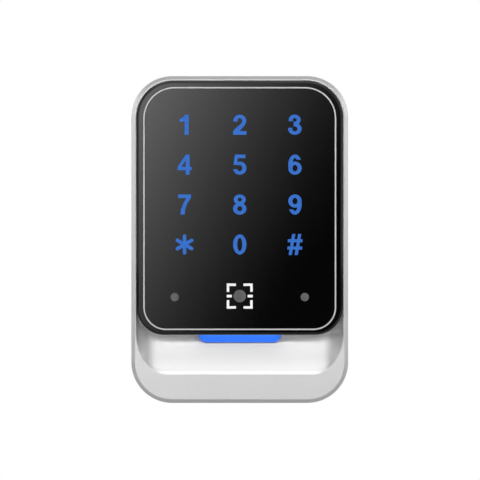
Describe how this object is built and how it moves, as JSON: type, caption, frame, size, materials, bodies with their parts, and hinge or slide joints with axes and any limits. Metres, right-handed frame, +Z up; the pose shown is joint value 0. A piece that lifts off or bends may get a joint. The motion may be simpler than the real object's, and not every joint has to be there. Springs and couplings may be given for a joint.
{
  "type": "keypad access reader",
  "caption": "Wall-mounted access reader with a lit touch keypad, code scanner window and light bar, hung on a hook bracket and held by a lock screw.",
  "frame": {"origin": "centre of the wall bracket's back face, on the wall", "axes": "+Z up, +X to the right as seen from the room, the front faces -Y and the wall is the plane Y = 0"},
  "size_m": [0.084, 0.076, 0.1266],
  "materials": {
    "housing_silver": "satin silver-grey paint on moulded plastic",
    "panel_black": "polished",
    "ring_silver": "bright satin",
    "glass_black": "black printed behind, polished in front",
    "legend_blue": "translucent print, lit blue from behind",
    "mark_white": "white print",
    "window_grey": "smoked, lets the camera and lights see out",
    "bar_blue": "frosted, lit blue from inside",
    "tape_black": "foam tape",
    "film_white": "frosted film",
    "shroud_white": "moulded",
    "spring_steel": "plated spring wire",
    "led_cream": "moulded",
    "board_green": "solder mask",
    "chip_black": "moulded",
    "lens_glass": "coated",
    "coil_copper": "enamelled copper, brass stands in",
    "carrier_amber": "film board",
    "can_metal": "drawn can",
    "header_white": "moulded",
    "screw_steel": "zinc plated",
    "cover_grey": "fine grain",
    "seal_rubber": "moulded",
    "jacket_black": "soft sleeve",
    "core_red": "insulated cores",
    "plunger_white": "low-friction plastic",
    "bracket_steel": "galvanised sheet"
  },
  "bodies": {
    "bracket": {"wall_bracket": "bracket_steel"},
    "reader": {"front_housing": "housing_silver", "panel_bezel": "panel_black", "panel_tape": "tape_black", "trim_ring": "ring_silver", "glass_tape": "tape_black", "cover_glass": "glass_black", "key_legends": "legend_blue", "scan_frame_mark": "mark_white", "scan_window": "window_grey", "side_windows": "window_grey", "light_bar": "bar_blue", "bar_leds": "led_cream", "diffuser_film": "film_white", "light_shroud": "shroud_white", "touch_springs": "spring_steel", "key_leds": "led_cream", "fill_leds": "led_cream", "keypad_board": "board_green", "scan_camera": "chip_black", "camera_lens": "lens_glass", "coil_carrier": "carrier_amber", "antenna_coil": "coil_copper", "main_board": "board_green", "control_chips": "chip_black", "crystal_can": "can_metal", "capacitors": "can_metal", "sounder": "chip_black", "board_header": "chip_black", "tamper_switch": "chip_black", "board_screws": "screw_steel", "cover_screws": "screw_steel", "back_cover": "cover_grey", "cover_seal": "seal_rubber", "cable_grommet": "seal_rubber", "cable_jacket": "jacket_black", "cable_wires": "core_red", "wire_plug": "header_white", "wire_header": "header_white", "tamper_spring": "spring_steel"},
    "plunger": {"tamper_plunger": "plunger_white"},
    "washer": {"lock_washer": "screw_steel"},
    "screw": {"lock_screw": "screw_steel"}
  },
  "joints": [
    {"name": "reader_tilt", "type": "hinge", "parent": "bracket", "child": "reader", "pos_m": [0, -0.0046, 0.0565], "axis": [-1, 0, 0], "range_deg": [0, 20]},
    {"name": "tamper_travel", "type": "slide", "parent": "reader", "child": "plunger", "axis": [0, 1, 0], "range_m": [0, 0.0012], "deforming": ["tamper_spring"]},
    {"name": "lock_travel", "type": "slide", "parent": "bracket", "child": "washer", "axis": [0, 0, -1], "range_m": [0, 0.002]},
    {"name": "lock_turn", "type": "hinge", "parent": "washer", "child": "screw", "pos_m": [0, -0.0046, -0.0615], "axis": [0, 0, -1], "range_deg": [0, 1440]}
  ],
  "couplings": [
    {"joint": "tamper_travel", "follows": "reader_tilt", "m_per_rad": 0.0034},
    {"joint": "lock_turn", "follows": "lock_travel", "rad_per_m": 12566}
  ]
}
